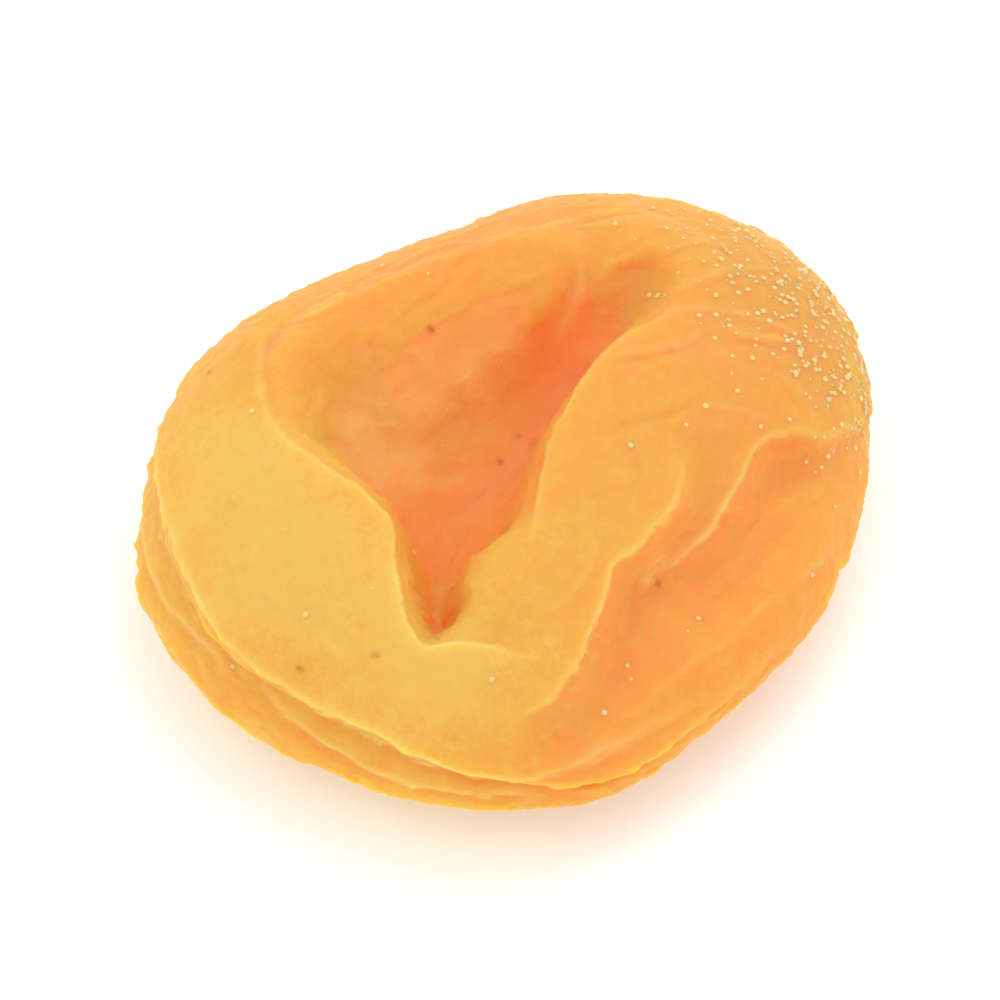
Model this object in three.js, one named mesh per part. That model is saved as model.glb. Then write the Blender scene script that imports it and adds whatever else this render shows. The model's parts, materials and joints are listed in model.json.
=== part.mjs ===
// A whole dried apricot, stoned and sun-dried: a squashed ring of flesh whose middle has sunk into
// a V-shaped hollow where the stone was pushed out, with a second, shallower fold beside it.
// Millimetres, +Z up. The origin is on the flat the fruit rests on, under the middle of its outline,
// and +X runs along its long axis. The fruit grew as one piece, so there is one solid.
import * as THREE from "three";
import { mergeVertices } from "three/addons/utils/BufferGeometryUtils.js";

// ---- driving sizes, mm ----
const RIM_HEIGHT = 4.8; // the widest line of the fruit, above the surface it rests on
const CROWN_RISE = 7.4; // the top of the flesh, above the widest line
const BELLY_DROP = 5.0; // the underside would fall this far if the resting spot did not cut it flat
const CROWN_FULLNESS = 2.4; // exponent of the upper section's superellipse: 2 is an ellipse, more is fuller
const BELLY_FULLNESS = 2.1; // the same below the widest line
const HOLLOW_CORNER = 1.2; // rounding, in height, between the hollow's walls and its floor
const MESH_DETAIL = 22; // splits of each icosahedron edge
const RELAX_ROUNDS = 40; // rounds of evening out the edges of the mesh

// The radius of the widest line, every 20 degrees round from +X.
const RIM_RADII = [
  20.6, 20.0, 18.5, 16.6, 16.3, 17.7, 19.1, 20.0, 20.7,
  20.7, 20.1, 20.1, 19.5, 17.6, 17.0, 17.2, 17.9, 19.5,
];

// ---- the hollow the stone left ----
// `edge` is the closed line where the crown turns down: x, y, the slope it reaches and the width
// it takes to reach it. `floor` is the deepest line: x, y, z. `slopes` are the floor's own slopes
// away from that line, on its left and on its right.
const STONE_HOLLOW = {
  edge: [
    [-13.5, -6.5, 3.0, 0.8], [-12.9, -5.3, 5.0, 0.9], [-12.0, -3.8, 5.0, 0.9], [-10.9, -2.3, 5.0, 0.9],
    [-9.6, -0.6, 5.0, 1.0], [-9.2, 1.2, 4.0, 1.0], [-9.3, 2.8, 3.2, 1.2], [-9.5, 4.6, 2.6, 1.4],
    [-9.5, 6.3, 2.2, 1.5], [-9.4, 8.2, 1.8, 1.8], [-8.5, 10.0, 1.4, 2.2], [-6.6, 12.2, 1.2, 2.8],
    [-3.0, 13.0, 1.1, 4.0], [1.0, 12.2, 1.15, 4.4], [5.5, 10.8, 1.15, 4.4], [9.5, 9.0, 0.9, 4.6],
    [13.2, 6.8, 0.45, 4.6], [15.4, 4.0, 0.35, 4.2], [15.2, 0.8, 0.4, 3.4], [12.3, -1.2, 0.9, 2.4],
    [11.0, -0.8, 1.4, 1.6], [9.6, -0.3, 2.2, 1.3], [8.1, 0.0, 3.4, 1.0], [6.3, 0.1, 4.0, 1.0],
    [4.7, -0.3, 4.5, 0.9], [3.0, -0.8, 4.5, 0.9], [0.8, -1.7, 4.5, 0.9], [-1.1, -2.7, 4.5, 0.9],
    [-2.8, -3.9, 4.0, 1.0], [-4.3, -5.3, 2.4, 1.2], [-6.5, -6.3, 1.3, 2.0], [-9.0, -7.4, 1.1, 2.0],
    [-11.2, -7.8, 1.1, 1.4], [-12.6, -7.4, 1.5, 1.0],
  ],
  floor: [
    [-13.6, -6.5, 9.3], [-12.5, -5.6, 8.0], [-11.0, -4.2, 6.4], [-9.0, -2.4, 4.9], [-6.0, 0.2, 3.4],
    [-2.0, 1.6, 2.9], [2.4, 2.2, 3.2], [5.6, 2.8, 4.4], [7.9, 2.9, 6.5], [10.4, 2.8, 8.8],
    [13.0, 3.0, 10.2], [16.0, 3.6, 11.2],
  ],
  slopes: [0.75, 0.8],
};

// ---- folds ----
// The flesh keeps its height up to a fold's line, drops by `depth` on the right of it over `edge`,
// and comes back up over `reach`. Each point of a line is x, y, depth.
const TOP_FOLDS = [
  { // the far side of the ridge between the two hollows
    line: [
      [-14.0, -12.4, 0], [-12.6, -12.8, 0.6], [-11.5, -13.0, 1.6], [-10.0, -13.1, 2.6], [-8.3, -12.8, 3.4],
      [-6.4, -12.0, 3.8], [-4.3, -10.9, 3.8], [-3.2, -10.3, 3.8], [-1.2, -10.2, 3.2], [0.8, -9.8, 2.6],
      [2.4, -9.2, 2.0], [3.6, -8.2, 1.2], [4.0, -6.8, 0.4], [4.2, -5.6, 0],
    ],
    edge: 0.9,
    reach: 8,
  },
  { // the tongue of the shoulder, lying over the side hollow
    line: [
      [-3.6, -11.6, 0], [-1.7, -11.0, 0.8], [0.2, -11.1, 1.6], [2.2, -11.1, 2.0], [4.0, -10.7, 2.2],
      [5.6, -10.3, 2.4], [7.2, -9.6, 2.6], [8.6, -9.4, 2.8], [10.0, -9.9, 2.6], [11.4, -10.7, 2.2],
      [13.4, -10.6, 1.6], [15.4, -9.8, 1.0], [17.4, -9.2, 0.5],
    ],
    edge: 0.9,
    reach: 7,
  },
  { // the crest of the front lobe, turning down into the stone hollow
    line: [
      [-9.4, -11.4, 0], [-10.3, -10.3, 0.4], [-11.1, -8.9, 0.7], [-12.1, -7.5, 0.7], [-13.2, -6.8, 0.4],
      [-13.9, -5.8, 0],
    ],
    edge: 0.9,
    reach: 3.5,
  },
  { // the free edge of the sheet behind the stone hollow
    line: [
      [4.6, 4.2, 0], [6.2, 4.8, 1.0], [7.8, 5.3, 1.6], [9.4, 6.1, 1.5], [10.5, 7.6, 0.8], [10.8, 9.4, 0],
    ],
    edge: 0.9,
    reach: 3.2,
  },
  { // the crease inside the outer rim of the side hollow
    line: [
      [-10.4, -15.0, 0], [-8.0, -15.3, 0.5], [-4.6, -15.3, 0.8], [-1.0, -15.3, 0.9], [3.0, -15.0, 0.9],
      [6.6, -14.2, 0.8], [9.6, -13.2, 0.5], [12.0, -12.4, 0],
    ],
    edge: 1.4,
    reach: 2.6,
  },
];

// The same for the underside, where the folds press upwards.
const BELLY_FOLDS = [
  { line: [[-7.0, -1.5, 0], [-10.0, -1.0, 0.7], [-14.0, 1.2, 0.9], [-17.4, 2.0, 0]], edge: 1.2, reach: 5 },
  { line: [[-3.4, 6.4, 0], [-4.2, 9.4, 0.7], [-3.2, 12.8, 0.9], [-3.8, 15.6, 0]], edge: 1.2, reach: 5 },
  { line: [[5.6, 4.4, 0], [8.0, 6.8, 0.7], [11.6, 8.2, 0.9], [14.2, 10.4, 0]], edge: 1.2, reach: 5 },
  { line: [[7.2, -3.0, 0], [10.2, -3.4, 0.6], [13.8, -5.6, 0.8], [16.4, -6.0, 0]], edge: 1.2, reach: 4.5 },
  { line: [[-0.6, -7.2, 0], [-1.6, -10.2, 0.8], [-0.8, -13.4, 0.9], [-2.0, -15.8, 0]], edge: 1.2, reach: 5 },
];

// The same for the flank: a line's points are degrees round from +X, height, depth, and the flesh
// sinks towards the axis on the right of the line.
const RIM_FOLDS = [
  { // the overhanging lip that runs round the front
    line: [
      [118, 7.0, 0], [132, 7.4, 0.5], [146, 8.0, 0.9], [160, 8.2, 1.1], [175, 7.8, 1.2], [190, 7.8, 1.2],
      [205, 7.4, 1.2], [216, 6.9, 1.2], [226, 6.5, 1.2], [236, 6.5, 1.1], [246, 6.6, 1.0], [256, 6.4, 0.7],
      [268, 6.2, 0.4], [282, 6.2, 0],
    ],
    edge: 0.9,
    reach: 3.6,
  },
  { // its ragged continuation round the back
    line: [
      [20, 5.2, 0], [34, 5.8, 0.6], [50, 5.4, 0.8], [66, 5.9, 0.6], [82, 5.5, 0.8], [98, 5.8, 0.5],
      [110, 5.2, 0],
    ],
    edge: 0.9,
    reach: 3.2,
  },
  {
    line: [[76, 7.0, 0], [73, 5.8, 0.6], [75, 4.2, 0.9], [71, 2.4, 0.6], [72, 0.8, 0]],
    edge: 1.1,
    reach: 4,
  },
  {
    line: [[104, 6.8, 0], [101, 5.6, 0.5], [103, 4.0, 0.8], [99, 1.8, 0.5], [100, 0.6, 0]],
    edge: 1.1,
    reach: 4.5,
  },
  { line: [[128, 5.8, 0], [126, 4.6, 0.5], [129, 3.0, 0.6], [126, 1.0, 0]], edge: 1.0, reach: 4 },
  {
    line: [[42, 6.8, 0], [40, 5.6, 0.5], [43, 4.2, 0.7], [39, 1.8, 0.5], [40, 0.6, 0]],
    edge: 1.1,
    reach: 4,
  },
  { line: [[196, 5.6, 0], [199, 4.4, 0.15], [197, 2.8, 0.2], [200, 1.0, 0]], edge: 1.0, reach: 3 },
  { line: [[232, 5.2, 0], [229, 4.0, 0.2], [231, 2.4, 0.3], [228, 0.8, 0]], edge: 1.0, reach: 3 },
  { line: [[300, 6.4, 0], [303, 4.8, 0.5], [301, 2.8, 0.6], [304, 1.0, 0]], edge: 1.0, reach: 4 },
];
const RIM_MM_PER_DEGREE = 0.33; // how far a degree reaches along the flank

// The scar of the stalk, a pit in the flank: degrees round from +X, height, radius, depth.
const STALK_SCAR = { degrees: 58, height: 6.0, radius: 1.7, depth: 1.3 };

// ---- distances in the plane ----

/** The nearest place on a polyline to (x, y): its distance, its side (+1 left) and its values. */
function nearestOnLine(line, x, y) {
  let distance = Infinity;
  let place = null;
  for (let i = 0; i + 1 < line.length; i++) {
    const dx = line[i + 1][0] - line[i][0];
    const dy = line[i + 1][1] - line[i][1];
    const toX = x - line[i][0];
    const toY = y - line[i][1];
    const t = THREE.MathUtils.clamp((toX * dx + toY * dy) / (dx * dx + dy * dy), 0, 1);
    const here = Math.hypot(toX - t * dx, toY - t * dy);
    if (here < distance) {
      distance = here;
      place = { i, t, side: dx * toY - dy * toX < 0 ? -1 : 1 };
    }
  }
  const { i, t, side } = place;
  const values = line[i].slice(2).map((value, k) => THREE.MathUtils.lerp(value, line[i + 1][k + 2], t));
  return { distance, side, values };
}

/** Whether (x, y) is inside a closed outline. */
function isInside(outline, x, y) {
  let inside = false;
  for (let i = 0, j = outline.length - 1; i < outline.length; j = i++) {
    const [ax, ay] = outline[i];
    const [bx, by] = outline[j];
    if (ay > y !== by > y && x < ax + ((bx - ax) * (y - ay)) / (by - ay)) inside = !inside;
  }
  return inside;
}

/** Hand-set points rounded into a smooth line, five steps to a point; every value is rounded along. */
function rounded(points, closed = false) {
  const steps = 5;
  const last = points.length - 1;
  const wrapped = (i) => points[(i + points.length) % points.length];
  const stopped = (i) => points[THREE.MathUtils.clamp(i, 0, last)];
  const at = closed ? wrapped : stopped;
  const line = [];
  for (let i = 0; i < (closed ? points.length : last); i++) {
    for (let step = 0; step < steps; step++) {
      const t = step / steps;
      line.push(at(i).map((_, k) => catmullRom(t, at(i - 1)[k], at(i)[k], at(i + 1)[k], at(i + 2)[k])));
    }
  }
  line.push(at(closed ? 0 : last));
  return line;
}

/** The Catmull-Rom curve through b and c, at t from 0 to 1 between them. */
function catmullRom(t, a, b, c, d) {
  const leave = 0.5 * (c - a);
  const arrive = 0.5 * (d - b);
  const bend = 3 * (c - b) - 2 * leave - arrive;
  const twist = leave + arrive - 2 * (c - b);
  return b + leave * t + bend * t * t + twist * t * t * t;
}

/** The radius of the widest line in the direction `angle`, in radians from +X. */
function rimRadius(angle) {
  const count = RIM_RADII.length;
  const place = THREE.MathUtils.euclideanModulo((angle / (2 * Math.PI)) * count, count);
  const i = Math.floor(place);
  const at = (k) => RIM_RADII[(i + k + count) % count];
  return catmullRom(place - i, at(-1), at(0), at(1), at(2));
}

/** The larger of two heights, with the corner between them rounded over `width`. */
function softMax(a, b, width) {
  const near = Math.max(width - Math.abs(a - b), 0) / width;
  return Math.max(a, b) + (near * near * width) / 4;
}

// ---- the surface ----

const hollowEdge = rounded(STONE_HOLLOW.edge, true);
const hollowFloor = rounded(STONE_HOLLOW.floor);
const topFolds = TOP_FOLDS.map((fold) => ({ ...fold, line: rounded(fold.line) }));
const bellyFolds = BELLY_FOLDS.map((fold) => ({ ...fold, line: rounded(fold.line) }));
const rimFolds = RIM_FOLDS.map((fold) => ({
  ...fold,
  line: rounded(fold.line.map(([degrees, height, depth]) => [degrees * RIM_MM_PER_DEGREE, height, depth])),
}));

/** How deep a set of folds presses the surface down at (x, y). */
function foldDepth(folds, x, y) {
  let depth = 0;
  for (const { line, edge, reach } of folds) {
    const { distance, side, values } = nearestOnLine(line, x, y);
    if (side > 0 || distance > reach) continue;
    depth += values[0] * THREE.MathUtils.smoothstep(distance, 0, edge) * (1 - (distance / reach) ** 2) ** 2;
  }
  return depth;
}

/** The crown's height at (x, y) once the stone hollow has been sunk into it. */
function sinkHollow(height, x, y) {
  if (!isInside(hollowEdge, x, y)) return height;
  const floor = nearestOnLine(hollowFloor, x, y);
  const edge = nearestOnLine(hollowEdge, x, y);
  const [wall, turn] = edge.values;
  const fall = edge.distance < turn ? edge.distance ** 2 / (2 * turn) : edge.distance - turn / 2;
  const slope = STONE_HOLLOW.slopes[floor.side > 0 ? 0 : 1];
  const ground = Math.min(floor.values[0] + slope * floor.distance, height);
  return softMax(height - wall * fall, ground, HOLLOW_CORNER);
}

/** How far the flank sinks towards the axis at an angle and a height. */
function flankDepth(angle, height) {
  const degrees = THREE.MathUtils.euclideanModulo(THREE.MathUtils.radToDeg(angle), 360);
  const along = degrees * RIM_MM_PER_DEGREE;
  const fromScar = Math.hypot(along - STALK_SCAR.degrees * RIM_MM_PER_DEGREE, height - STALK_SCAR.height);
  const scar = STALK_SCAR.depth * Math.exp(-((fromScar / STALK_SCAR.radius) ** 2));
  return foldDepth(rimFolds, along, height) + scar;
}

/** The point of the fruit's skin that belongs to a direction of the unit sphere. */
function skinPoint(direction) {
  const above = direction.z >= 0;
  const power = 2 / (above ? CROWN_FULLNESS : BELLY_FULLNESS);
  const share = Math.pow(Math.hypot(direction.x, direction.y), power);
  const lift = Math.pow(Math.abs(direction.z), power);
  const room = above ? CROWN_RISE * lift : Math.min(BELLY_DROP * lift, RIM_HEIGHT);
  const height = above ? RIM_HEIGHT + room : RIM_HEIGHT - room;
  const angle = Math.atan2(direction.y, direction.x);
  const sunk = flankDepth(angle, height) * THREE.MathUtils.smoothstep(share, 0.6, 0.85);
  const radius = share * rimRadius(angle) - sunk;
  const x = radius * Math.cos(angle);
  const y = radius * Math.sin(angle);
  const depth = foldDepth(above ? topFolds : bellyFolds, x, y);
  const folded = room > 0 ? room * Math.exp(-depth / room) : 0;
  return new THREE.Vector3(x, y, above ? sinkHollow(RIM_HEIGHT + folded, x, y) : RIM_HEIGHT - folded);
}

/** The vertices around each vertex of an indexed geometry. */
function neighbours(geometry) {
  const around = Array.from({ length: geometry.attributes.position.count }, () => new Set());
  const index = geometry.index.array;
  for (let i = 0; i < index.length; i += 3) {
    for (let k = 0; k < 3; k++) {
      around[index[i + k]].add(index[i + ((k + 1) % 3)]);
      around[index[i + k]].add(index[i + ((k + 2) % 3)]);
    }
  }
  return around;
}

/** Slides sphere directions towards their far neighbours, so that edges on the skin come out even. */
function relax(directions, around) {
  for (let round = 0; round < RELAX_ROUNDS; round++) {
    const skin = directions.map(skinPoint);
    directions = directions.map((direction, i) => {
      const pull = new THREE.Vector3();
      let total = 0;
      for (const j of around[i]) {
        const weight = skin[i].distanceTo(skin[j]);
        pull.addScaledVector(directions[j], weight);
        total += weight;
      }
      return pull.divideScalar(total).lerp(direction, 0.5).normalize();
    });
  }
  return directions;
}

/** The whole fruit as one closed, indexed geometry. */
function apricotGeometry() {
  const ball = new THREE.IcosahedronGeometry(1, MESH_DETAIL);
  ball.deleteAttribute("normal");
  ball.deleteAttribute("uv");
  const geometry = mergeVertices(ball, 1e-4);
  const position = geometry.attributes.position;
  const start = Array.from({ length: position.count }, (_, i) =>
    new THREE.Vector3().fromBufferAttribute(position, i),
  );
  relax(start, neighbours(geometry)).forEach((direction, i) => {
    const point = skinPoint(direction);
    position.setXYZ(i, point.x, point.y, point.z);
  });
  geometry.computeBoundingBox();
  const middle = geometry.boundingBox.getCenter(new THREE.Vector3());
  geometry.translate(-middle.x, -middle.y, 0);
  geometry.computeVertexNormals();
  return geometry;
}

const flesh = new THREE.MeshStandardMaterial({ color: 0xf29a3c, roughness: 0.45, metalness: 0 });
const apricot = new THREE.Mesh(apricotGeometry(), flesh);
apricot.name = "dried_apricot";

const group = new THREE.Group();
group.add(apricot);
export default group;
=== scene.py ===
"""A whole dried apricot on a pale studio floor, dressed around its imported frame.

The flesh is grown from a copy of the frame's solid: its facets are rounded off, its folds, lips and
wrinkles are laid in along lines in millimetres, and node trees add the fine leathery relief and the
sugar that has crept out through the skin.
"""

from __future__ import annotations

import json
import logging
import math
from dataclasses import dataclass, field
from enum import Enum

import bpy
import numpy as np
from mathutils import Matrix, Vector

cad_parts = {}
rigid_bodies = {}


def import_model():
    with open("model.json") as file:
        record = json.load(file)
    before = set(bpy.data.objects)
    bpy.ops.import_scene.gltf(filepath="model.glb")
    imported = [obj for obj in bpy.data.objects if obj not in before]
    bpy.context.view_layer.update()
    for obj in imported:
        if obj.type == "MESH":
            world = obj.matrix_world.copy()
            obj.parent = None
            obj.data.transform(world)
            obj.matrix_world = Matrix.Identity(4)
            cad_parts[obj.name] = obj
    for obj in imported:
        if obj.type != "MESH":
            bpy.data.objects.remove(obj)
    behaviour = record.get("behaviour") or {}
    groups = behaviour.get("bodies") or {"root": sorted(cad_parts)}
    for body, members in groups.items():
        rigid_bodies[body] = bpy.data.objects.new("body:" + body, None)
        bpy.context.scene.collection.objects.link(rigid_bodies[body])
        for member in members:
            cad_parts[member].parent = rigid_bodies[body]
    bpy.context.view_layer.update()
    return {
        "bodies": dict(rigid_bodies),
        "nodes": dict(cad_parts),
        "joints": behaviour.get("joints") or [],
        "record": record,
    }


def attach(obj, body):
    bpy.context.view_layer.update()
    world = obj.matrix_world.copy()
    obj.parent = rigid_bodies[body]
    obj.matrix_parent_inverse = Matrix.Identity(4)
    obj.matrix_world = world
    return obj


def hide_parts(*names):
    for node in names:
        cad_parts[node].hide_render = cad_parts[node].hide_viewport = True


LOG = logging.getLogger("dried_apricot")
MM = 0.001

Point3 = tuple[float, float, float]


# ---------------------------------------------------------------- small helpers


def hex_colour(text: str) -> tuple[float, float, float, float]:
    """Turn an sRGB hex colour into the linear one that shaders use.

    Args:
        text: six hex digits, with or without a leading #.

    Returns:
        Linear red, green, blue and an alpha of 1.
    """
    digits = text.lstrip("#")
    shares = [int(digits[i : i + 2], 16) / 255 for i in (0, 2, 4)]
    linear = [s / 12.92 if s <= 0.04045 else ((s + 0.055) / 1.055) ** 2.4 for s in shares]
    return (linear[0], linear[1], linear[2], 1.0)


def add_node(
    tree: bpy.types.NodeTree,
    kind: str,
    inputs: dict[str | int, object] | None = None,
    **settings: object,
) -> bpy.types.Node:
    """Add a node with its settings, its input values and its incoming links.

    Args:
        tree: the node tree to add to.
        kind: the node's type name.
        inputs: input name or index to a value, or to the socket that feeds it.
        settings: properties of the node itself.

    Returns:
        The new node.
    """
    node = tree.nodes.new(kind)
    for name, value in settings.items():
        setattr(node, name, value)
    for key, value in (inputs or {}).items():
        if isinstance(value, bpy.types.NodeSocket):
            tree.links.new(value, node.inputs[key])
        else:
            node.inputs[key].default_value = value
    return node


def run_tree(piece: bpy.types.Object, tree: bpy.types.NodeTree, values: dict[str, float]) -> None:
    """Run a geometry node tree on a piece and keep the result as its plain mesh.

    Args:
        piece: the object whose mesh the tree reads and whose mesh is replaced.
        tree: the geometry node tree.
        values: the tree's named inputs.
    """
    modifier = piece.modifiers.new(tree.name, "NODES")
    modifier.node_group = tree
    for item in tree.interface.items_tree:
        if item.item_type == "SOCKET" and item.in_out == "INPUT" and item.name in values:
            modifier[item.identifier] = values[item.name]
    depsgraph = bpy.context.evaluated_depsgraph_get()
    result = bpy.data.meshes.new_from_object(piece.evaluated_get(depsgraph))
    piece.modifiers.remove(modifier)
    result.name = piece.name
    piece.data = result


# ---------------------------------------------------------------- laying lines into the skin


class Region(Enum):
    """The part of the skin that a line is laid on, and so what its points mean."""

    CROWN = "x and y, in mm, seen from above"
    FLANK = "degrees round from +X, and height in mm"


class Profile(Enum):
    """The cross-section of a line."""

    CORD = "a rounded ridge, or a crease where its height is negative"
    LIP = "the edge of a fold: the skin turns over at the line and drops on its right"


@dataclass(frozen=True)
class Line:
    """A line on the skin: points of two places in its region and one height, in mm.

    A lip also paints the flesh warmer on its low side, crisply at the line and fading away from it:
    painted shade, since there the light has come through more of the fruit.
    """

    points: tuple[Point3, ...]
    width: float = 0.3
    profile: Profile = Profile.CORD
    region: Region = Region.CROWN
    # warmth: how strongly a lip paints shade on its low side; fade: in how many mm that painted
    # shade fades
    warmth: float = 0.0
    fade: float = 1.5

    def smooth(self, steps: int = 6) -> np.ndarray:
        """Round the points into a Catmull-Rom line.

        Args:
            steps: pieces that each stretch between two points is cut into.

        Returns:
            An array of rows: place, place, height.
        """
        points = np.array(self.points, float)
        if self.region is Region.FLANK:
            points[:, 0] *= FLANK_MM_PER_DEGREE
        ends = np.vstack([2 * points[0] - points[1], points, 2 * points[-1] - points[-2]])
        ends[[0, -1], 2] = points[[0, -1], 2]
        t = np.linspace(0, 1, steps, endpoint=False)[:, None]
        rows = []
        for a, b, c, d in zip(ends, ends[1:], ends[2:], ends[3:]):
            leave, arrive = 0.5 * (c - a), 0.5 * (d - b)
            rows.append(
                b
                + leave * t
                + (3 * (c - b) - 2 * leave - arrive) * t**2
                + (leave + arrive - 2 * (c - b)) * t**3
            )
        return np.vstack([*rows, points[-1:]])


FLANK_MM_PER_DEGREE = 0.33  # length of one degree of the flank, near 19 mm from the middle
LIP_TURN = 0.16  # mm over which a lip turns over at its line
# the pale colour of a lip's edge is painted light, for the light that comes through its thin flesh
FULL_CREST = 0.2  # mm of height at which a lip's edge is as thin and pale as it gets
WOBBLE = 0.05  # mm by which every line sways


@dataclass(frozen=True)
class Trace:
    """What one line does to the points it touches: one value of each kind for each row."""

    rows: np.ndarray
    rise: np.ndarray
    warmth: np.ndarray
    crest: np.ndarray


def lay_line(line: Line, places: np.ndarray) -> Trace:
    """Work out what one line does to the skin.

    Args:
        line: the line to lay.
        places: the vertices' places in the line's region, one row each.

    Returns:
        The trace of the line.
    """
    path = line.smooth()
    reach = 3.0 * max(line.width, line.fade if line.warmth else 0.0)
    low, high = path[:, :2].min(0) - reach, path[:, :2].max(0) + reach
    rows = np.flatnonzero(((places > low) & (places < high)).all(1))
    start, step = path[:-1, :2], np.diff(path[:, :2], axis=0)
    to = places[rows, None, :] - start[None]
    along = np.clip((to * step).sum(2) / np.maximum((step**2).sum(1), 1e-12), 0, 1)
    gap = to - along[..., None] * step
    distance = np.hypot(gap[..., 0], gap[..., 1])
    best = distance.argmin(1)
    pick = np.arange(len(rows))
    distance, along = distance[pick, best], along[pick, best]
    height = path[best, 2] * (1 - along) + path[best + 1, 2] * along
    bell = np.exp(-((distance / line.width) ** 2))
    # a raised cord gets half a crest: a painted pale glow along its top
    if line.profile is Profile.CORD:
        return Trace(rows, height * bell, np.zeros(len(rows)), 0.5 * np.maximum(height, 0) * bell)
    side = step[best, 0] * to[pick, best, 1] - step[best, 1] * to[pick, best, 0]
    turned = 0.5 + 0.5 * np.tanh(np.sign(side) * distance / LIP_TURN)
    drop = np.exp(-((distance / (1.6 * line.width)) ** 2))
    strength = height / max(path[:, 2].max(), 1e-6)
    # a lip paints shade (warmth) on its low side, and a pale painted glow (crest) just on its high
    # side
    return Trace(
        rows,
        height * (0.3 * turned * bell - (1 - turned) * drop),
        strength * line.warmth * (1 - turned) * np.exp(-distance / line.fade),
        np.clip(height / FULL_CREST, 0, 1) * turned * np.exp(-(((distance - 0.1) / 0.2) ** 2)),
    )


# ---------------------------------------------------------------- the mesh being shaped


@dataclass
class Skin:
    """A closed triangle mesh in mm, with extra values carried along with its points."""

    points: np.ndarray
    faces: np.ndarray
    warmth: np.ndarray = field(default_factory=lambda: np.zeros(0))
    crest: np.ndarray = field(default_factory=lambda: np.zeros(0))

    @classmethod
    def from_frame_node(cls, node: bpy.types.Object) -> Skin:
        """Copy a frame node's loose triangles and merge their shared corners.

        Args:
            node: the frame's object for the solid.

        Returns:
            The merged skin, in mm.
        """
        mesh = node.data
        mesh.calc_loop_triangles()
        points = np.empty(len(mesh.vertices) * 3)
        mesh.vertices.foreach_get("co", points)
        corners = np.empty(len(mesh.loop_triangles) * 3, np.int64)
        mesh.loop_triangles.foreach_get("vertices", corners)
        points = points.reshape(-1, 3) / MM
        _, first, same = np.unique(
            np.round(points, 3), axis=0, return_index=True, return_inverse=True
        )
        faces = same.reshape(-1)[corners].reshape(-1, 3)
        whole = (faces != np.roll(faces, 1, axis=1)).all(1)
        return cls(points[first], faces[whole])

    def normals(self) -> np.ndarray:
        """Return each point's outward direction, weighted by the area of its faces."""
        a, b, c = (self.points[self.faces[:, k]] for k in range(3))
        across = np.cross(b - a, c - a)
        count = len(self.points)
        total = np.column_stack(
            [
                sum(np.bincount(corner, column, count) for corner in self.faces.T)
                for column in across.T
            ]
        )
        return total / np.maximum(np.linalg.norm(total, axis=1, keepdims=True), 1e-12)

    def subdivide(self) -> None:
        """Cut every triangle in four and round the mesh off by Loop's rule."""
        opposite = self.faces[:, [[1, 2], [2, 0], [0, 1]]].reshape(-1, 2)
        edges, slot = np.unique(np.sort(opposite, axis=1), axis=0, return_inverse=True)
        slot = slot.reshape(-1)
        corners = self.faces.reshape(-1)
        across = np.column_stack(
            [np.bincount(slot, column[corners], len(edges)) for column in self.points.T]
        )
        middles = 0.375 * self.points[edges].sum(1) + 0.125 * across
        both = np.concatenate([edges, edges[:, ::-1]])
        start, end = both.T
        around = np.column_stack(
            [np.bincount(start, column[end], len(self.points)) for column in self.points.T]
        )
        count = np.bincount(start, minlength=len(self.points))[:, None]
        pull = np.where(count == 3, 3 / 16, 3 / (8 * count))
        kept = (1 - count * pull) * self.points + pull * around
        cuts = slot.reshape(-1, 3) + len(self.points)
        a, b, c = self.faces.T
        opp_a, opp_b, opp_c = cuts.T
        quarters = [(a, opp_c, opp_b), (b, opp_a, opp_c), (c, opp_b, opp_a), (opp_a, opp_b, opp_c)]
        self.faces = np.concatenate([np.column_stack(quarter) for quarter in quarters])
        self.points = np.concatenate([kept, middles])

    def places(self, region: Region) -> np.ndarray:
        """Return the points' places in a region, with those outside it moved far away.

        Args:
            region: the part of the skin.

        Returns:
            Two places for each point.
        """
        x, y, z = self.points.T
        up = self.normals()[:, 2]
        if region is Region.FLANK:
            degrees = np.degrees(np.arctan2(y, x)) % 360
            inside = (np.hypot(x, y) > 11.0) & (np.abs(up) < 0.93) & (z < 10.5)
            places = np.column_stack([degrees * FLANK_MM_PER_DEGREE, z])
        else:
            inside = (up > -0.25) & (z > 2.0)
            places = np.column_stack([x, y])
        # no fold runs quite true: waves 2 to 3 mm long sway every line
        waves = np.sin(2.3 * places[:, ::-1] + 1.4 * np.sin(0.9 * places))
        places = places + WOBBLE * waves
        places[~inside] = 1e6
        return places

    def lay(self, lines: tuple[Line, ...]) -> None:
        """Raise or sink the skin along its own outward direction by a set of lines.

        Args:
            lines: the lines, all laid on the skin as it stands before the first of them.
        """
        rise, warmth, crest = (np.zeros(len(self.points)) for _ in range(3))
        places = {region: self.places(region) for region in Region}
        for line in lines:
            trace = lay_line(line, places[line.region])
            rise[trace.rows] += trace.rise
            warmth[trace.rows] = np.maximum(warmth[trace.rows], trace.warmth)
            crest[trace.rows] = np.maximum(crest[trace.rows], trace.crest)
        self.points = self.points + self.normals() * rise[:, None]
        # the lines' warmth is painted shade and their crest a painted pale glow, kept for the
        # finish
        self.warmth, self.crest = warmth, crest

    def to_mesh(self, name: str, values: dict[str, np.ndarray]) -> bpy.types.Mesh:
        """Make a Blender mesh in metres, smooth-shaded, with values stored on its points.

        Args:
            name: the mesh's name.
            values: attribute name to one value for each point.

        Returns:
            The new mesh.
        """
        mesh = bpy.data.meshes.new(name)
        mesh.from_pydata((self.points * MM).tolist(), [], self.faces.tolist())
        for key, column in values.items():
            attribute = mesh.attributes.new(key, "FLOAT", "POINT")
            attribute.data.foreach_set("value", column.astype(np.float32))
        mesh.shade_smooth()
        mesh.update()
        return mesh


# ---------------------------------------------------------------- finishes


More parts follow.
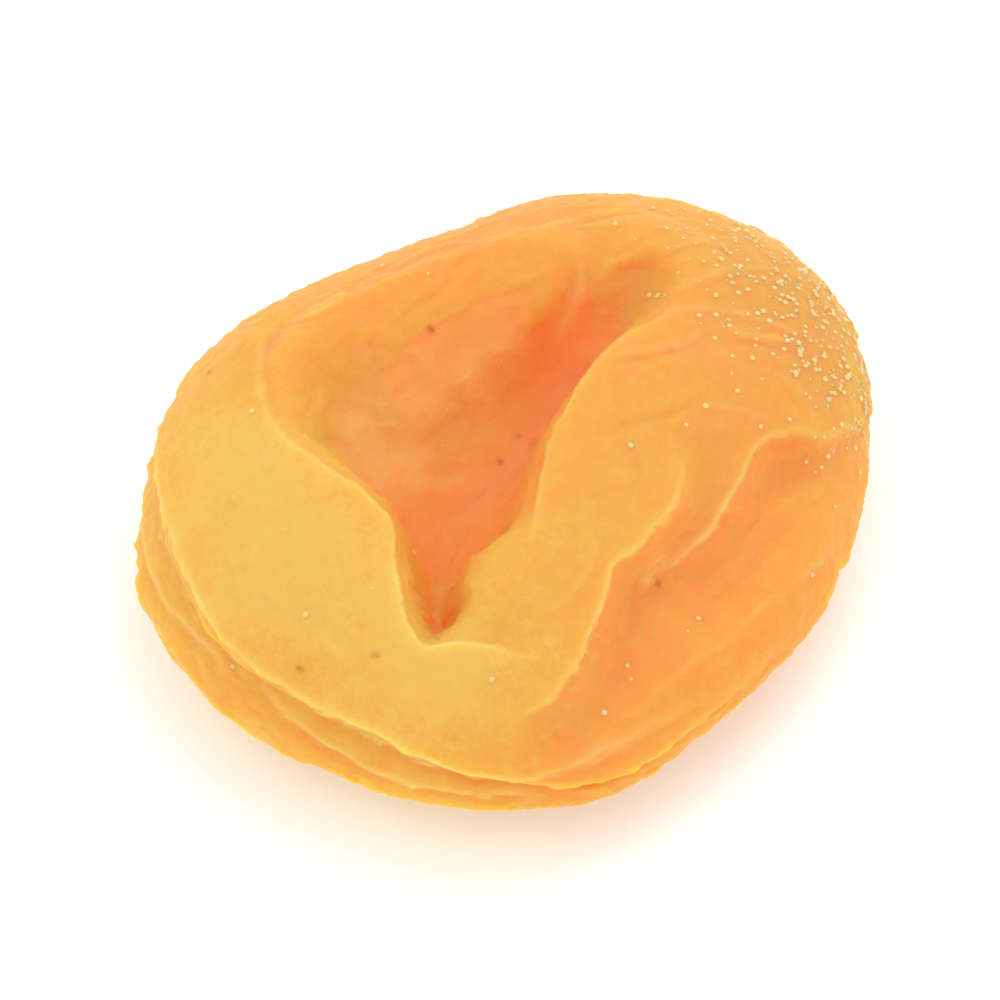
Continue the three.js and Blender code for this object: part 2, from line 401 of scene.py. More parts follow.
@dataclass(frozen=True)
class SunDriedFlesh:
    """Sulphured apricot flesh, sun-dried: translucent, leathery and faintly tacky.

    Light sinks a few millimetres in and comes back orange, so thin lobes glow yellow and the
    depths of the hollow turn a deep red-orange. The surface keeps a soft, broken shine. A scale
    is how often a pattern repeats in a metre.
    """

    straw: str = "#E6BE5D"
    golden: str = "#E5B048"
    amber: str = "#E7A448"
    orange: str = "#F19C48"
    deep: str = "#F79750"
    # painted light: the pale colour of thin edges that light comes through
    crest: str = "#F6D68C"
    speck: str = "#A8431A"
    roughness: float = 0.5
    scatter_mm: float = 6.5
    mottling: tuple[tuple[float, float], ...] = ((200.0, 0.42), (950.0, 0.4), (2600.0, 0.4))
    edge_break_scale: float = 420.0
    dry_patch_scale: float = 900.0
    fibre_scale: float = 2200.0

    def build(self) -> bpy.types.Material:
        """Build the material's nodes.

        Returns:
            The finished material.
        """
        material = bpy.data.materials.new("sun_dried_apricot_flesh")
        material.use_nodes = True
        tree = material.node_tree
        tree.nodes.clear()
        where = add_node(tree, "ShaderNodeTexCoord").outputs["Object"]
        warmth = add_node(tree, "ShaderNodeAttribute", attribute_name="warmth").outputs["Fac"]
        crest = add_node(tree, "ShaderNodeAttribute", attribute_name="crest").outputs["Fac"]

        # Mottling: clouds 5 mm across, blotches of 1 mm and pores of 0.4 mm shift the colour.
        shift = warmth
        for scale, amount in self.mottling:
            noise = add_node(
                tree,
                "ShaderNodeTexNoise",
                {"Vector": where, "Scale": scale, "Detail": 3.0, "Roughness": 0.6},
            ).outputs["Fac"]
            centred = add_node(
                tree,
                "ShaderNodeMath",
                {0: noise, 1: amount, 2: -0.5 * amount},
                operation="MULTIPLY_ADD",
            ).outputs[0]
            shift = add_node(
                tree, "ShaderNodeMath", {0: shift, 1: centred}, operation="ADD"
            ).outputs[0]
        # The ramp runs from straw to deep orange; its warm end also paints shade in the hollows and
        # under the lips.
        ramp = add_node(tree, "ShaderNodeValToRGB", {"Fac": shift})
        colours = (self.straw, self.golden, self.amber, self.orange, self.deep)
        stops = [(index / 4, colour) for index, colour in enumerate(colours)]
        while len(ramp.color_ramp.elements) < len(stops):
            ramp.color_ramp.elements.new(0.5)
        for element, (place, colour) in zip(ramp.color_ramp.elements, stops):
            element.position, element.color = place, hex_colour(colour)

        # The thin edges of the folds let more light through, so they are painted paler: painted
        # light, in broken stretches.
        breaks = add_node(
            tree, "ShaderNodeTexNoise", {"Vector": where, "Scale": self.edge_break_scale}
        ).outputs["Fac"]
        broken = add_node(
            tree,
            "ShaderNodeMapRange",
            {"Value": breaks, "From Min": 0.4, "From Max": 0.62, "To Min": 0.28, "To Max": 0.46},
        ).outputs[0]
        edge = add_node(
            tree, "ShaderNodeMath", {0: crest, 1: broken}, operation="MULTIPLY"
        ).outputs[0]
        edged = add_node(
            tree,
            "ShaderNodeMix",
            {0: edge, 6: ramp.outputs["Color"], 7: hex_colour(self.crest)},
            data_type="RGBA",
        ).outputs[2]

        # A few brown specks of dried skin.
        speck = add_node(tree, "ShaderNodeAttribute", attribute_name="speck").outputs["Fac"]
        colour = add_node(
            tree, "ShaderNodeMix", {0: speck, 6: edged, 7: hex_colour(self.speck)}, data_type="RGBA"
        ).outputs[2]

        # The shine is broken by skin that is drier in patches 1 mm across.
        patches = add_node(
            tree,
            "ShaderNodeTexNoise",
            {"Vector": where, "Scale": self.dry_patch_scale, "Detail": 2.0},
        ).outputs["Fac"]
        roughness = add_node(
            tree,
            "ShaderNodeMapRange",
            {
                "Value": patches,
                "From Min": 0.3,
                "From Max": 0.7,
                "To Min": self.roughness - 0.1,
                "To Max": self.roughness + 0.12,
            },
        ).outputs[0]

        # Pores and fibres 0.2 to 0.5 mm apart, too fine for the mesh.
        fibres = add_node(
            tree,
            "ShaderNodeTexNoise",
            {"Vector": where, "Scale": self.fibre_scale, "Detail": 4.0, "Roughness": 0.65},
        ).outputs["Fac"]
        bump = add_node(
            tree, "ShaderNodeBump", {"Strength": 0.5, "Distance": 0.00018, "Height": fibres}
        ).outputs["Normal"]

        shader = add_node(
            tree,
            "ShaderNodeBsdfPrincipled",
            {
                "Base Color": colour,
                "Roughness": roughness,
                "Normal": bump,
                "IOR": 1.42,
                "Specular IOR Level": 0.35,
                "Subsurface Weight": 1.0,
                "Subsurface Radius": (1.0, 0.30, 0.07),
                "Subsurface Scale": self.scatter_mm * MM,
            },
        )
        add_node(tree, "ShaderNodeOutputMaterial", {"Surface": shader.outputs["BSDF"]})
        return material


@dataclass(frozen=True)
class SugarCrystal:
    """Fruit sugar that has dried on the skin: tiny clear grains that look pale gold."""

    colour: str = "#FFE09A"
    shaded: str = "#FBCB74"
    tint_scale: float = 600.0

    def build(self) -> bpy.types.Material:
        """Build the material's nodes.

        Returns:
            The finished material.
        """
        material = bpy.data.materials.new("dried_fruit_sugar")
        material.use_nodes = True
        tree = material.node_tree
        tree.nodes.clear()
        where = add_node(tree, "ShaderNodeTexCoord").outputs["Object"]
        tint = add_node(
            tree, "ShaderNodeTexNoise", {"Vector": where, "Scale": self.tint_scale}
        ).outputs["Fac"]
        colour = add_node(
            tree,
            "ShaderNodeMix",
            {0: tint, 6: hex_colour(self.colour), 7: hex_colour(self.shaded)},
            data_type="RGBA",
        ).outputs[2]
        shader = add_node(
            tree,
            "ShaderNodeBsdfPrincipled",
            {
                "Base Color": colour,
                "Roughness": 0.28,
                "IOR": 1.5,
                "Subsurface Weight": 0.6,
                "Subsurface Radius": (1.0, 0.6, 0.3),
                "Subsurface Scale": 0.5 * MM,
            },
        )
        add_node(tree, "ShaderNodeOutputMaterial", {"Surface": shader.outputs["BSDF"]})
        return material


@dataclass(frozen=True)
class LightTable:
    """Matt white acrylic of a light table, softly lit from below."""

    colour: str = "#FBFAF9"
    glow: float = 0.2

    def build(self) -> bpy.types.Material:
        """Build the material's nodes.

        Returns:
            The finished material.
        """
        material = bpy.data.materials.new("white_acrylic_light_table")
        material.use_nodes = True
        tree = material.node_tree
        tree.nodes.clear()
        shader = add_node(
            tree,
            "ShaderNodeBsdfPrincipled",
            {
                "Base Color": hex_colour(self.colour),
                "Roughness": 0.9,
                "Specular IOR Level": 0.2,
                "Emission Color": hex_colour(self.colour),
                "Emission Strength": self.glow,
            },
        )
        add_node(tree, "ShaderNodeOutputMaterial", {"Surface": shader.outputs["BSDF"]})
        return material


# ---------------------------------------------------------------- the fruit


@dataclass(frozen=True)
class SkinRelief:
    """The leathery relief of the dried skin, made by a node tree on the whole surface."""

    swell_height: float = 0.30
    swell_spacing: float = 4.0
    wrinkle_height: float = 0.12
    wrinkle_spacing: float = 1.3
    grain_height: float = 0.065
    grain_spacing: float = 0.62
    flank_gain: float = 2.6
    flat_below: float = 0.2
    full_above: float = 1.2
    seed: int = 7

    def tree(self, material: bpy.types.Material) -> bpy.types.NodeTree:
        """Build the geometry node tree.

        Args:
            material: the finish that the tree sets on its result.

        Returns:
            The tree, with its sizes as named inputs in metres.
        """
        tree = bpy.data.node_groups.new("skin_relief", "GeometryNodeTree")
        face = tree.interface
        face.new_socket("Geometry", in_out="INPUT", socket_type="NodeSocketGeometry")
        for name in self.values():
            face.new_socket(name, in_out="INPUT", socket_type="NodeSocketFloat")
        face.new_socket("Geometry", in_out="OUTPUT", socket_type="NodeSocketGeometry")
        given = add_node(tree, "NodeGroupInput").outputs
        place = add_node(tree, "GeometryNodeInputPosition").outputs[0]

        # Wrinkles run along the rim, so heights count twice as much as lengths.
        stretched = add_node(
            tree, "ShaderNodeVectorMath", {0: place, 1: (1.0, 1.0, 2.0)}, operation="MULTIPLY"
        ).outputs[0]
        offset = 0.0
        layers = (("Swell", place, 1.0), ("Wrinkle", stretched, 2.0), ("Grain", place, 1.0))
        for prefix, at, detail in layers:
            scale = add_node(
                tree, "ShaderNodeMath", {0: 1.0, 1: given[f"{prefix} Spacing"]}, operation="DIVIDE"
            ).outputs[0]
            noise = add_node(
                tree,
                "ShaderNodeTexNoise",
                {
                    "Vector": at,
                    "W": given["Seed"],
                    "Scale": scale,
                    "Detail": detail,
                    "Roughness": 0.5,
                },
                noise_dimensions="4D",
            ).outputs[0]
            centred = add_node(
                tree, "ShaderNodeMath", {0: noise, 1: 0.5}, operation="SUBTRACT"
            ).outputs[0]
            if prefix == "Wrinkle":
                # folding the noise over makes narrow creases between rounded backs
                folded = add_node(
                    tree, "ShaderNodeMath", {0: centred}, operation="ABSOLUTE"
                ).outputs[0]
                centred = add_node(
                    tree, "ShaderNodeMath", {0: folded, 1: 4.0, 2: -0.35}, operation="MULTIPLY_ADD"
                ).outputs[0]
            inputs = {0: centred, 1: given[f"{prefix} Height"], 2: offset}
            offset = add_node(tree, "ShaderNodeMath", inputs, operation="MULTIPLY_ADD").outputs[0]
        # The flank is the most shrunken: its relief is more than twice as deep.
        normal = add_node(tree, "GeometryNodeInputNormal").outputs[0]
        level = add_node(tree, "ShaderNodeSeparateXYZ", {0: normal}).outputs["Z"]
        tilt = add_node(tree, "ShaderNodeMath", {0: level}, operation="ABSOLUTE").outputs[0]
        gain = add_node(
            tree,
            "ShaderNodeMapRange",
            {"Value": tilt, "From Max": 0.8, "To Min": self.flank_gain, "To Max": 1.0},
        ).outputs[0]
        offset = add_node(
            tree, "ShaderNodeMath", {0: offset, 1: gain}, operation="MULTIPLY"
        ).outputs[0]

        # The resting spot stays flat: relief fades out close to the ground.
        height_above = add_node(tree, "ShaderNodeSeparateXYZ", {0: place}).outputs["Z"]
        fade = add_node(
            tree,
            "ShaderNodeMapRange",
            {
                "Value": height_above,
                "From Min": self.flat_below * MM,
                "From Max": self.full_above * MM,
            },
        ).outputs[0]
        faded = add_node(
            tree, "ShaderNodeMath", {0: offset, 1: fade}, operation="MULTIPLY"
        ).outputs[0]
        shift = add_node(
            tree, "ShaderNodeVectorMath", {0: normal, "Scale": faded}, operation="SCALE"
        ).outputs[0]
        moved = add_node(
            tree, "GeometryNodeSetPosition", {"Geometry": given["Geometry"], "Offset": shift}
        ).outputs[0]
        real = add_node(tree, "GeometryNodeRealizeInstances", {"Geometry": moved}).outputs[0]
        dressed = add_node(
            tree, "GeometryNodeSetMaterial", {"Geometry": real, "Material": material}
        ).outputs[0]
        add_node(tree, "NodeGroupOutput", {"Geometry": dressed})
        return tree

    def values(self) -> dict[str, float]:
        """Return the tree's inputs: sizes in metres, and the seed."""
        return {
            "Swell Height": self.swell_height * MM,
            "Swell Spacing": self.swell_spacing * MM,
            "Wrinkle Height": self.wrinkle_height * MM,
            "Wrinkle Spacing": self.wrinkle_spacing * MM,
            "Grain Height": self.grain_height * MM,
            "Grain Spacing": self.grain_spacing * MM,
            "Seed": float(self.seed),
        }

    def apply(self, piece: bpy.types.Object, material: bpy.types.Material) -> None:
        """Press the relief into a piece.

        Args:
            piece: the piece, with a plain mesh.
            material: the finish of the piece.
        """
        run_tree(piece, self.tree(material), self.values())


@dataclass(frozen=True)
class SugarBloom:
    """Grains of dried sugar scattered over the shoulder of the fruit by a node tree."""

    grains_per_cm2: float = 430.0
    grain_size: float = 0.38
    centre: tuple[float, float] = (17.5, -5.0)
    spread: tuple[float, float] = (4.6, 8.0)
    stray_share: float = 0.006
    seed: int = 3

    def tree(self, material: bpy.types.Material) -> bpy.types.NodeTree:
        """Build the geometry node tree.

        Args:
            material: the finish of the grains.

        Returns:
            The tree, with its sizes as named inputs.
        """
        tree = bpy.data.node_groups.new("sugar_bloom", "GeometryNodeTree")
        face = tree.interface
        face.new_socket("Geometry", in_out="INPUT", socket_type="NodeSocketGeometry")
        face.new_socket("Grains per m2", in_out="INPUT", socket_type="NodeSocketFloat")
        face.new_socket("Grain Size", in_out="INPUT", socket_type="NodeSocketFloat")
        face.new_socket("Seed", in_out="INPUT", socket_type="NodeSocketInt")
        face.new_socket("Geometry", in_out="OUTPUT", socket_type="NodeSocketGeometry")
        given = add_node(tree, "NodeGroupInput").outputs
        share = add_node(
            tree, "GeometryNodeInputNamedAttribute", {"Name": "bloom"}, data_type="FLOAT"
        ).outputs[0]
        density = add_node(
            tree, "ShaderNodeMath", {0: share, 1: given["Grains per m2"]}, operation="MULTIPLY"
        ).outputs[0]
        scatter = add_node(
            tree,
            "GeometryNodeDistributePointsOnFaces",
            {"Mesh": given["Geometry"], "Density": density, "Seed": given["Seed"]},
        )
        grain = add_node(
            tree, "GeometryNodeMeshIcoSphere", {"Radius": 0.5, "Subdivisions": 1}
        ).outputs["Mesh"]
        size = add_node(
            tree,
            "FunctionNodeRandomValue",
            {2: 0.35, 3: 1.0, "Seed": given["Seed"]},
            data_type="FLOAT",
        ).outputs[1]
        scale = add_node(
            tree, "ShaderNodeMath", {0: size, 1: given["Grain Size"]}, operation="MULTIPLY"
        ).outputs[0]
        flat = add_node(
            tree, "ShaderNodeVectorMath", {0: (1.0, 1.0, 0.45), "Scale": scale}, operation="SCALE"
        ).outputs[0]
        placed = add_node(
            tree,
            "GeometryNodeInstanceOnPoints",
            {
                "Points": scatter.outputs["Points"],
                "Instance": grain,
                "Rotation": scatter.outputs["Rotation"],
                "Scale": flat,
            },
        ).outputs[0]
        real = add_node(tree, "GeometryNodeRealizeInstances", {"Geometry": placed}).outputs[0]
        dressed = add_node(
            tree, "GeometryNodeSetMaterial", {"Geometry": real, "Material": material}
        ).outputs[0]
        add_node(tree, "NodeGroupOutput", {"Geometry": dressed})
        return tree

    def build(self, flesh: bpy.types.Object, material: bpy.types.Material) -> bpy.types.Object:
        """Scatter the grains over a copy of the flesh and keep only the grains.

        Args:
            flesh: the finished flesh, which carries the `bloom` attribute.
            material: the finish of the grains.

        Returns:
            The grains as one piece.
        """
        grains = bpy.data.objects.new("sugar_bloom", flesh.data.copy())
        bpy.context.scene.collection.objects.link(grains)
        values = {
            "Grains per m2": self.grains_per_cm2 * 1e4,
            "Grain Size": self.grain_size * MM,
            "Seed": self.seed,
        }
        run_tree(grains, self.tree(material), values)
        return grains


@dataclass(frozen=True)
class Wash:
    """A soft patch of the flesh that is more yellow (below 0) or more orange (above 0), in mm."""

    centre: tuple[float, float]
    radius: tuple[float, float]
    amount: float
    sunken: bool = False

    def spread(self, points: np.ndarray, sunk: np.ndarray) -> np.ndarray:
        """Work out how much the patch adds to the flesh's warmth, seen from above.

        Args:
            points: the points, in mm.
            sunk: 0 on the crown to 1 well below it, one for each point.

        Returns:
            One amount for each point; a sunken patch keeps to the hollows, where it is painted
            shade.
        """
        away = (points[:, :2] - np.array(self.centre)) / np.array(self.radius)
        share = np.exp(-(away**2).sum(1))
        return self.amount * share * (sunk if self.sunken else 1.0)


@dataclass(frozen=True)
class Apricot:
    """The whole dried fruit, grown from the frame's one solid."""

    node: str = "dried_apricot"
    subdivisions: int = 2
    base_warmth: float = 0.42
    # where the hollows start and deepen, for the painted shade of the sunken patches
    hollow_top: float = 10.4
    hollow_fall: float = 2.6
    hollow_reach: float = 15.0
    speck_radius: float = 0.15
    speck_strength: float = 0.7
    flesh: SunDriedFlesh = SunDriedFlesh()
    sugar: SugarCrystal = SugarCrystal()
    relief: SkinRelief = SkinRelief()
    bloom: SugarBloom = SugarBloom()
    washes: tuple[Wash, ...] = (
        Wash((-14.5, 3.0), (6.0, 8.0), -0.48),
        Wash((-13.5, -8.0), (6.0, 6.0), -0.38),
        Wash((-10.5, 10.0), (4.5, 4.5), -0.25),
        Wash((-4.0, -8.0), (5.0, 3.0), -0.14),
        Wash((4.0, -15.0), (10.0, 4.5), 0.08),
        Wash((8.0, 12.0), (9.0, 4.0), 0.22),
        Wash((12.0, -5.0), (5.0, 4.0), 0.15),
        # the sunken patches are painted shade: they paint the hollows deeper orange, where less
        # light falls
        Wash((-7.0, 6.0), (3.5, 4.0), 0.10, True),
        Wash((1.0, 7.0), (7.0, 3.5), 0.10, True),
        Wash((-10.5, -4.6), (3.6, 2.8), 0.45, True),
        Wash((-5.0, 1.2), (4.5, 3.0), 0.62, True),
        Wash((1.0, 1.4), (4.0, 1.8), 0.58, True),
        Wash((6.5, 2.8), (3.2, 1.8), 0.55, True),
        Wash((8.5, 6.5), (4.0, 3.0), 0.28, True),
    )
    specks: tuple[tuple[float, float], ...] = (
        (1.4, 8.2), (1.1, 2.8), (3.2, 2.4), (2.7, 3.2), (-1.2, -11.1), (-18.1, -2.6), (-15.3, -5.2),
        (6.4, -17.0), (13.6, 8.8), (-8.4, 14.6),
    )
    folds: tuple[Line, ...] = (
        # the left lip of the stone hollow, from the point of the V to the back
        Line(
            (
                (-13.5, -6.8, 0.0), (-12.9, -5.4, 0.20), (-12.0, -3.8, 0.26), (-10.9, -2.3, 0.26),
                (-9.6, -0.6, 0.26), (-9.2, 1.2, 0.24), (-9.3, 2.8, 0.22), (-9.5, 4.6, 0.18),
                (-9.5, 6.3, 0.16), (-9.4, 8.2, 0.14), (-8.6, 9.9, 0.14), (-7.8, 11.1, 0.14),
                (-6.7, 12.4, 0.12), (-5.3, 13.5, 0.10), (-3.6, 13.9, 0.0),
            ),
            0.45, Profile.LIP, Region.CROWN, 0.30, 2.4,
        ),
        # the ridge's edge over the stone hollow, run from right to left so that it drops into it
        Line(
            (
                (-6.0, -6.4, 0.0), (-4.3, -5.3, 0.14), (-2.8, -3.9, 0.22), (-1.1, -2.7, 0.22),
                (0.8, -1.7, 0.20), (3.0, -0.8, 0.20), (4.7, -0.3, 0.20), (6.3, 0.1, 0.20),
                (8.1, -0.1, 0.18), (9.6, -0.4, 0.14), (11.0, -1.0, 0.10), (12.6, -2.4, 0.0),
            )[::-1],
            0.4, Profile.LIP, Region.CROWN, 0.30, 2.6,
        ),
        # the ridge's edge over the side hollow
        Line(
            (
                (-13.4, -12.6, 0.0), (-11.5, -13.0, 0.16),
                (-10.0, -13.1, 0.22), (-8.3, -12.8, 0.24),
                (-6.4, -12.0, 0.24), (-4.3, -10.9, 0.24), (-3.2, -10.3, 0.24), (-1.2, -10.2, 0.22),
                (0.8, -9.8, 0.20), (2.4, -9.2, 0.14), (3.6, -8.2, 0.08), (4.0, -6.8, 0.0),
            ),
            0.42, Profile.LIP, Region.CROWN, 0.36, 3.2,
        ),
        # the tongue of the shoulder
        Line(
            (
                (-2.6, -11.4, 0.0), (-1.7, -11.0, 0.12), (0.2, -11.1, 0.22), (2.2, -11.1, 0.22),
                (4.0, -10.7, 0.22), (5.6, -10.3, 0.22), (7.2, -9.6, 0.20), (8.6, -9.4, 0.18),
                (10.0, -9.9, 0.16), (11.4, -10.7, 0.14), (13.4, -10.6, 0.10), (15.4, -9.8, 0.05),
                (16.8, -9.2, 0.0),
            ),
            0.4, Profile.LIP, Region.CROWN, 0.28, 2.4,
        ),
        # the crest of the front lobe
        Line(
            (
                (-9.6, -11.2, 0.0), (-10.3, -10.3, 0.08), (-11.1, -8.9, 0.14), (-12.1, -7.5, 0.16),
                (-13.0, -6.8, 0.10), (-13.6, -6.4, 0.0),
            ),
            0.35, Profile.LIP, Region.CROWN, 0.20, 1.6,
        ),
        # the free edge of the sheet behind the stone hollow
        Line(
            (
                (5.4, 4.5, 0.0), (6.4, 4.8, 0.14), (7.4, 4.7, 0.18), (8.3, 4.7, 0.18),
                (9.2, 5.3, 0.14), (9.8, 6.2, 0.0),
            )[::-1],
            0.35, Profile.LIP, Region.CROWN, 0.20, 2.0,
        ),
        # the small fold at the foot of the shelf
        Line(
            (
                (-5.2, 5.4, 0.0), (-5.7, 6.7, 0.14), (-6.4, 7.3, 0.16), (-7.2, 7.4, 0.12),
                (-8.2, 7.0, 0.0),
            )[::-1],
            0.32, Profile.LIP, Region.CROWN, 0.20, 1.6,
        ),
        # the overhanging lip round the front
        Line(
            (
                (128, 6.6, 0.0), (140, 7.6, 0.14), (152, 8.3, 0.20),
                (164, 8.3, 0.22), (176, 8.0, 0.24),
                (188, 7.9, 0.24), (198, 7.7, 0.24), (207, 7.3, 0.24),
                (217, 6.7, 0.22), (227, 6.4, 0.20),
                (238, 6.4, 0.18), (248, 6.4, 0.12), (262, 6.2, 0.0),
            ),
            0.4, Profile.LIP, Region.FLANK, 0.35, 1.4,
        ),
        # the second, finer layer under it
        Line(
            (
                (180, 7.0, 0.0), (188, 6.2, 0.18), (195, 5.6, 0.22),
                (201, 5.1, 0.22), (208, 4.9, 0.22),
                (216, 4.8, 0.18), (226, 4.8, 0.14), (240, 4.6, 0.0),
            ),
            0.3, Profile.LIP, Region.FLANK, 0.20, 0.8,
        ),
        Line(
            (
                (186, 7.7, 0.0), (194, 7.0, 0.14), (204, 6.5, 0.18),
                (214, 6.0, 0.18), (224, 5.8, 0.14),
                (236, 5.6, 0.0),
            ),
            0.26, Profile.LIP, Region.FLANK, 0.15, 0.6,
        ),
        Line(
            (
                (132, 4.6, 0.0), (142, 5.2, 0.14), (151, 5.7, 0.18),
                (160, 6.0, 0.20), (169, 6.3, 0.16),
                (178, 6.2, 0.0),
            ),
            0.28, Profile.LIP, Region.FLANK, 0.15, 0.7,
        ),
        Line(
            (
                (150, 4.6, 0.0), (160, 4.7, 0.14), (170, 4.4, 0.18),
                (180, 4.0, 0.18), (190, 3.6, 0.16),
                (202, 3.4, 0.14), (214, 3.5, 0.0),
            ),
            0.28, Profile.LIP, Region.FLANK, 0.15, 0.7,
        ),
        # the thin skin's own steps on the rim behind the hollow
        Line(
            (
                (1.6, 11.9, 0.0), (2.8, 12.3, 0.10), (4.2, 12.3, 0.13), (5.4, 11.9, 0.13),
                (6.4, 11.0, 0.12), (6.9, 10.0, 0.08), (7.8, 9.4, 0.0),
            ),
            0.28, Profile.LIP, Region.CROWN, 0.14, 1.2,
        ),
        Line(
            (
                (6.3, 12.6, 0.0), (7.4, 12.8, 0.10), (8.6, 12.6, 0.13), (9.8, 12.1, 0.12),
                (11.4, 11.5, 0.0),
            ),
            0.28, Profile.LIP, Region.CROWN, 0.12, 1.0,
        ),
        Line(
            (
                (-4.2, 13.9, 0.0), (-3.8, 13.3, 0.10), (-3.3, 12.6, 0.14), (-1.8, 12.2, 0.14),
                (-0.6, 12.5, 0.10), (-0.2, 13.7, 0.0),
            ),
            0.28, Profile.LIP, Region.CROWN, 0.12, 1.0,
        ),
        Line(
            (
                (-2.6, 8.3, 0.0), (-1.6, 8.3, 0.10), (-0.4, 8.4, 0.08), (1.4, 8.2, 0.10),
                (3.7, 7.8, 0.07), (5.3, 7.3, 0.09), (7.0, 6.6, 0.07), (8.7, 6.0, 0.0),
            ),
            0.26, Profile.LIP, Region.CROWN, 0.20, 3.0,
        ),
        # steps over the far shoulder and along the ridge
        Line(
            (
                (8.8, 8.2, 0.0), (10.2, 8.1, 0.08), (12.4, 7.6, 0.12), (14.2, 6.4, 0.12),
                (15.3, 4.3, 0.10), (15.8, 2.6, 0.0),
            ),
            0.28, Profile.LIP, Region.CROWN, 0.12, 1.0,
        ),
        Line(
            (
                (9.9, 4.7, 0.0), (11.3, 3.9, 0.10), (12.5, 2.9, 0.12), (14.0, 2.4, 0.08),
                (15.9, 1.4, 0.12), (17.2, 0.4, 0.0),
            ),
            0.28, Profile.LIP, Region.CROWN, 0.12, 1.0,
        ),
        Line(
            (
                (10.2, 1.0, 0.0), (11.5, 0.3, 0.10), (12.9, -0.2, 0.13), (14.9, -0.6, 0.12),
                (16.5, -1.0, 0.12), (17.9, -1.8, 0.0),
            ),
            0.28, Profile.LIP, Region.CROWN, 0.12, 1.0,
        ),
        Line(
            (
                (9.1, 0.1, 0.0), (10.5, -0.8, 0.12), (11.5, -1.5, 0.15), (12.4, -2.3, 0.15),
                (13.4, -3.7, 0.14), (14.3, -4.9, 0.12), (15.4, -6.6, 0.0),
            ),
            0.28, Profile.LIP, Region.CROWN, 0.14, 1.0,
        ),
        Line(
            (
                (4.4, -0.6, 0.0), (6.2, -1.3, 0.10), (7.8, -2.2, 0.12), (9.2, -2.7, 0.12),
                (10.8, -2.7, 0.0),
            ),
            0.26, Profile.LIP, Region.CROWN, 0.12, 0.9,
        ),
        Line(
            (
                (10.6, -2.4, 0.0), (11.4, -3.2, 0.08), (12.2, -4.3, 0.12), (13.7, -5.5, 0.10),
                (15.2, -6.4, 0.0),
            ),
            0.26, Profile.LIP, Region.CROWN, 0.10, 0.8,
        ),
        Line(
            (
                (17.0, 6.9, 0.0), (17.7, 5.6, 0.10), (18.2, 3.6, 0.12), (18.4, 1.4, 0.12),
                (18.2, -0.8, 0.0),
            ),
            0.28, Profile.LIP, Region.CROWN, 0.10, 0.9,
        ),
        Line(
            (
                (4.6, -6.2, 0.0), (5.6, -6.0, 0.03), (6.8, -6.4, 0.06), (8.0, -7.2, 0.08),
                (9.0, -8.2, 0.07), (9.3, -9.2, 0.0),
            ),
            0.28, Profile.LIP, Region.CROWN, 0.10, 1.0,
        ),
        Line(
            (
                (-8.0, -9.9, 0.0), (-6.8, -10.1, 0.07), (-5.4, -9.9, 0.09), (-4.0, -9.4, 0.08),
                (-2.8, -8.4, 0.0),
            ),
            0.26, Profile.LIP, Region.CROWN, 0.10, 0.9,
        ),
        # the outer fold of the side hollow
        Line(
            (
                (9.4, -14.3, 0.0), (7.8, -14.8, 0.06), (5.9, -15.2, 0.08), (3.9, -15.4, 0.04),
                (1.7, -15.4, 0.07), (-0.5, -15.7, 0.03), (-3.0, -15.5, 0.08),
                (-4.7, -15.4, 0.04), (-6.3, -15.5, 0.07), (-8.7, -15.0, 0.0),
            )[::-1],
            0.3, Profile.LIP, Region.CROWN, 0.10, 0.9,
        ),
    )
